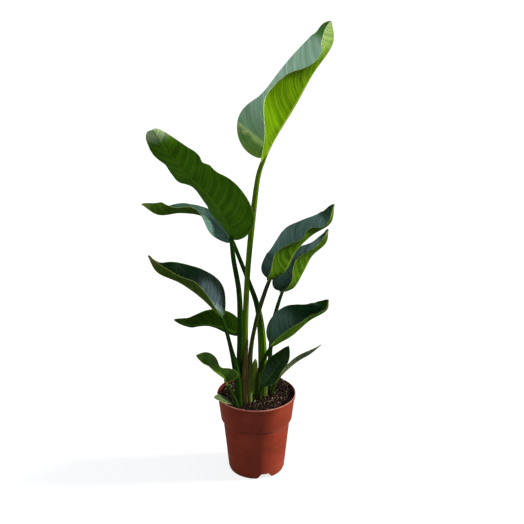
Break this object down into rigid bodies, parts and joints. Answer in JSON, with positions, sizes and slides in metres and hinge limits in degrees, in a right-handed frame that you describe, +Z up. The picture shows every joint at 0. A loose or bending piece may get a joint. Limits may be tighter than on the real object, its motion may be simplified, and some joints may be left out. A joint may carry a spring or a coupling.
{
  "type": "potted bird of paradise plant",
  "caption": "Young bird of paradise plant with tall upright stalks and large folded paddle-shaped leaves, standing in soil in a round tapered nursery pot with a notched foot.",
  "frame": {"origin": "on the pot's axis, at the surface it stands on", "axes": "+Z up along the pot's axis, +X to the picture's right, -Y towards its viewer"},
  "size_m": [0.4033, 0.2063, 1.0005],
  "materials": {
    "blade": "satin",
    "blade_young": "satin",
    "stalk": "satin",
    "stalk_young": "satin",
    "dry_sheath": "matte",
    "pot": "matte",
    "soil": "matte"
  },
  "bodies": {
    "root": {"leaf_top": "blade_young", "stalk_top": "stalk_young", "leaf_upper_left": "blade", "stalk_upper_left": "stalk", "leaf_arching_left": "blade", "stalk_arching_left": "stalk", "leaf_middle_left": "blade", "stalk_middle_left": "stalk", "leaf_low_left": "blade", "stalk_low_left": "stalk", "leaf_small_left": "blade", "stalk_small_left": "stalk", "leaf_over_rim": "blade", "stalk_over_rim": "stalk", "leaf_upper_right": "blade", "stalk_upper_right": "stalk", "leaf_second_right": "blade", "stalk_second_right": "stalk", "leaf_middle_right": "blade", "stalk_middle_right": "stalk", "leaf_low_right": "blade", "stalk_low_right": "stalk", "leaf_narrow_right": "blade", "stalk_narrow_right": "stalk", "sheath_dry": "dry_sheath", "sheath_rounded": "stalk", "rolled_shoot": "stalk_young", "pot": "pot", "soil": "soil"}
  },
  "joints": []
}
